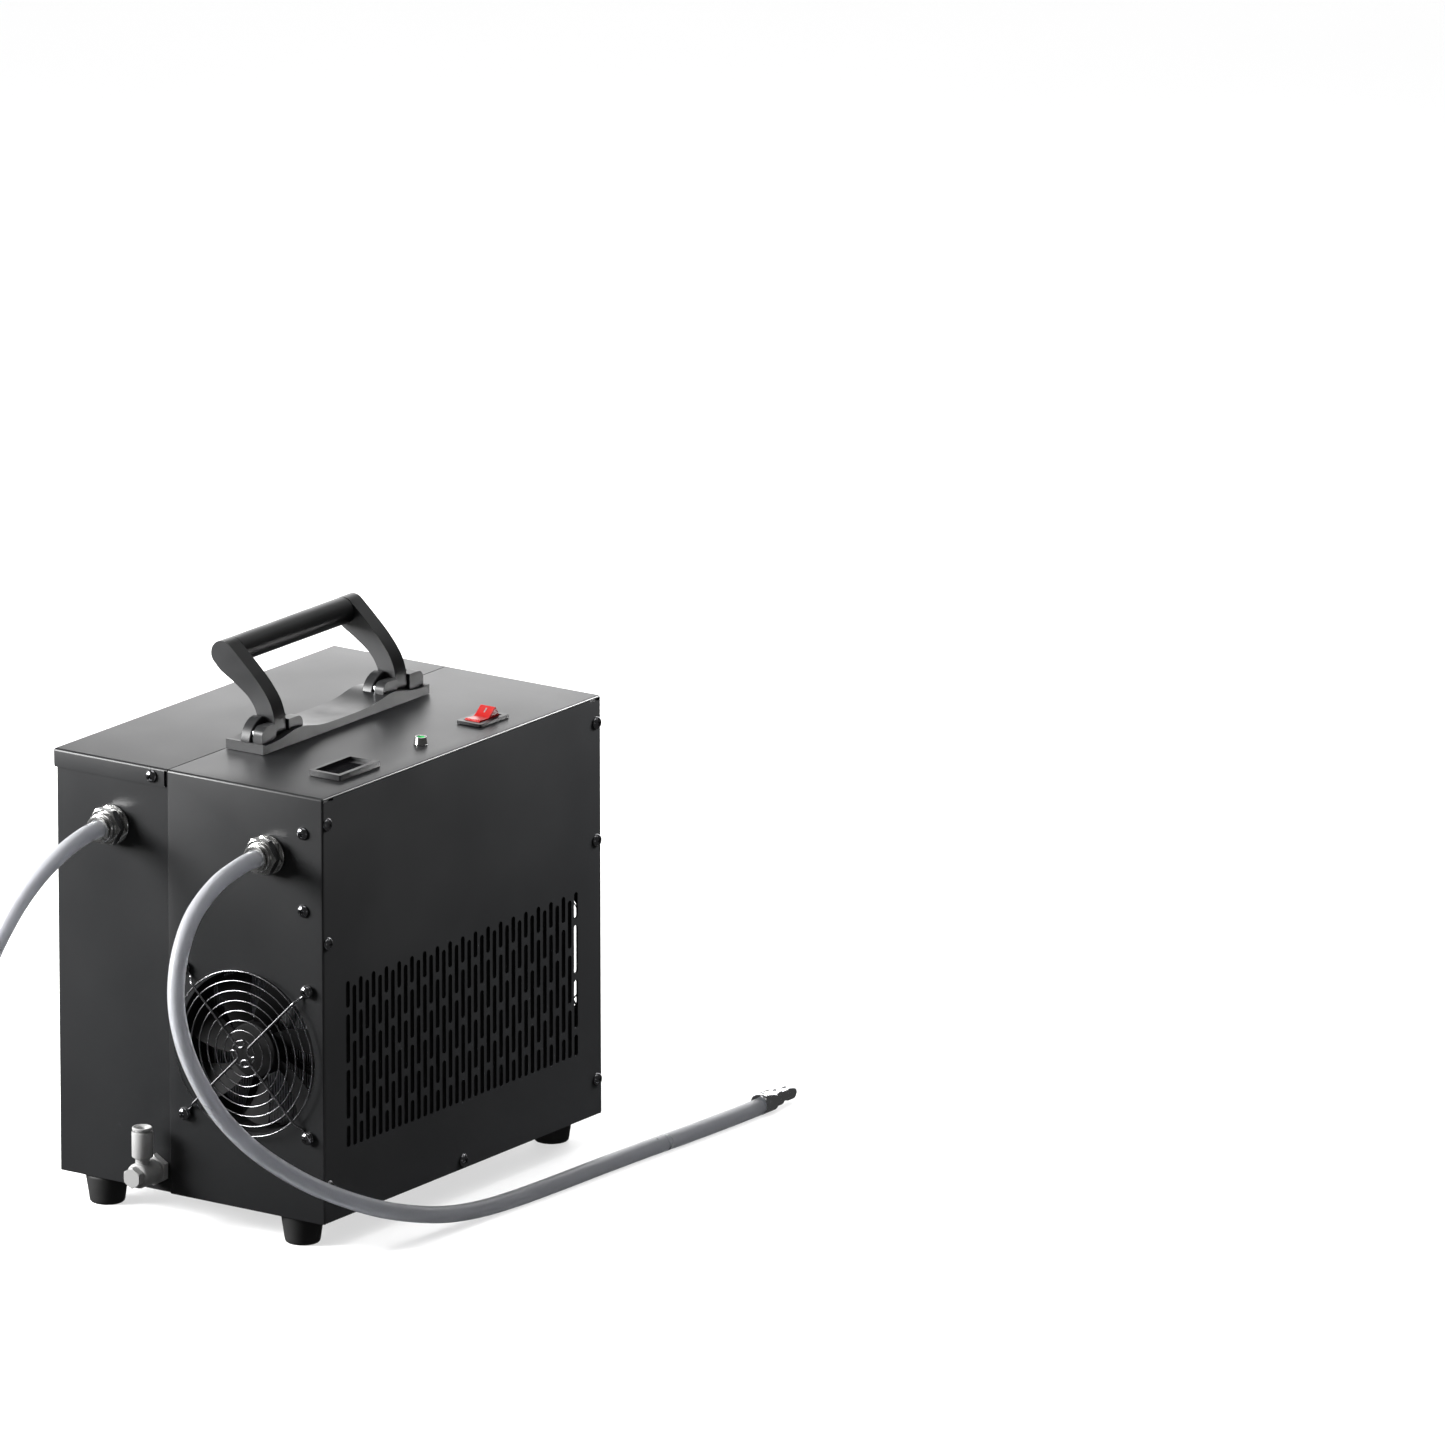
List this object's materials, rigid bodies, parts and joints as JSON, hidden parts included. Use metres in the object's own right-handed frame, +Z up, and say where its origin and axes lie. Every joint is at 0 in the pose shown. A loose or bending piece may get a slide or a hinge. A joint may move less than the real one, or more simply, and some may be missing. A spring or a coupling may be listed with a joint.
{
  "type": "refrigerated air dryer",
  "caption": "Refrigerated compressed-air dryer: black sheet-metal cabinet with grille, fan guard, carry handle, push-in air fittings and two hoses.",
  "frame": {"origin": "centre of the bottom of the bounding box, measured without the hoses", "axes": "+X from the fan end to the far end, +Y from the grille face to the back, +Z up"},
  "size_m": [0.8192, 0.413, 0.3953],
  "materials": {
    "black_paint": "fine-textured satin powder coat",
    "black_plastic": "satin moulded",
    "dark_window": "glossy, near-black tint",
    "chrome": "bright plate",
    "nickel": "bright nickel plate",
    "green_lens": "translucent",
    "white_plastic": "semi-gloss moulded",
    "red_plastic": "gloss moulded",
    "clear_hose": "translucent, milky",
    "rubber": "matt",
    "zinc_plate": "dull zinc plate",
    "copper": "drawn tube",
    "aluminium_fins": "mill",
    "cast_aluminium": "as cast",
    "black_enamel": "gloss enamel",
    "foam": "closed-cell foam"
  },
  "bodies": {
    "cabinet": {"air_in_pipe": "copper", "air_out_pipe": "copper", "base_pan": "zinc_plate", "capillary_line": "copper", "compressor": "black_enamel", "condenser": "aluminium_fins", "discharge_line": "copper", "display_bezel": "black_plastic", "display_housing": "black_plastic", "display_window": "dark_window", "drain_bolt": "white_plastic", "drain_nut": "white_plastic", "drain_pipe": "copper", "dust_filter": "foam", "exhaust_guard": "chrome", "fan_frame": "black_plastic", "fan_guard": "chrome", "filter_drier": "copper", "foot_front_left": "rubber", "foot_front_right": "rubber", "foot_rear_left": "rubber", "foot_rear_right": "rubber", "front_shell": "black_paint", "grille_panel": "black_paint", "guard_screw_front_high": "chrome", "guard_screw_front_low": "chrome", "guard_screw_rear_high": "chrome", "guard_screw_rear_low": "chrome", "handle_base": "black_plastic", "handle_pin_left": "chrome", "handle_pin_right": "chrome", "heat_exchanger": "foam", "inlet_fitting": "nickel", "inlet_hose": "clear_hose", "inlet_hose_plug": "chrome", "inlet_locknut": "nickel", "inner_bulkhead": "zinc_plate", "led_bezel": "chrome", "led_lens": "green_lens", "liquid_line": "copper", "outlet_fitting": "nickel", "outlet_hose": "clear_hose", "outlet_hose_coil": "clear_hose", "outlet_hose_plug": "chrome", "outlet_locknut": "nickel", "power_inlet": "black_plastic", "rear_lid": "black_paint", "rear_shell": "black_paint", "suction_line": "copper", "switch_housing": "black_plastic", "water_separator": "cast_aluminium"},
    "carry_handle": {"handle_arm_left": "black_plastic", "handle_arm_right": "black_plastic", "handle_grip": "black_plastic"},
    "power_rocker": {"switch_rocker": "red_plastic"},
    "fan_rotor": {"fan_rotor": "black_plastic"},
    "drain_elbow": {"drain_elbow": "white_plastic"},
    "drain_collar": {"drain_collar": "white_plastic"},
    "inlet_collar": {"inlet_collar": "nickel"},
    "outlet_collar": {"outlet_collar": "nickel"}
  },
  "joints": [
    {"name": "handle_fold", "type": "hinge", "parent": "cabinet", "child": "carry_handle", "pos_m": [0.011, -0.00465, 0.3375], "axis": [1, 0, 0], "range_deg": [-53.5, 38]},
    {"name": "power_switch", "type": "hinge", "parent": "cabinet", "child": "power_rocker", "pos_m": [0.0737, -0.08785, 0.3225], "axis": [0, 1, 0], "range_deg": [0, 34]},
    {"name": "fan_spin", "type": "hinge", "parent": "cabinet", "child": "fan_rotor", "pos_m": [-0.154, -0.05065, 0.1342], "axis": [1, 0, 0], "continuous": true},
    {"name": "drain_swivel", "type": "hinge", "parent": "cabinet", "child": "drain_elbow", "pos_m": [-0.1693, 0.02865, 0.0366], "axis": [1, 0, 0], "range_deg": [-90, 90]},
    {"name": "drain_release", "type": "slide", "parent": "drain_elbow", "child": "drain_collar", "axis": [0, 0, -1], "range_m": [0, 0.0011], "stiffness_N_per_m": 300, "springref_m": -0.002},
    {"name": "inlet_release", "type": "slide", "parent": "cabinet", "child": "inlet_collar", "axis": [1, 0, 0], "range_m": [0, 0.0012], "stiffness_N_per_m": 400, "springref_m": -0.002},
    {"name": "outlet_release", "type": "slide", "parent": "cabinet", "child": "outlet_collar", "axis": [1, 0, 0], "range_m": [0, 0.0012], "stiffness_N_per_m": 400, "springref_m": -0.002}
  ]
}
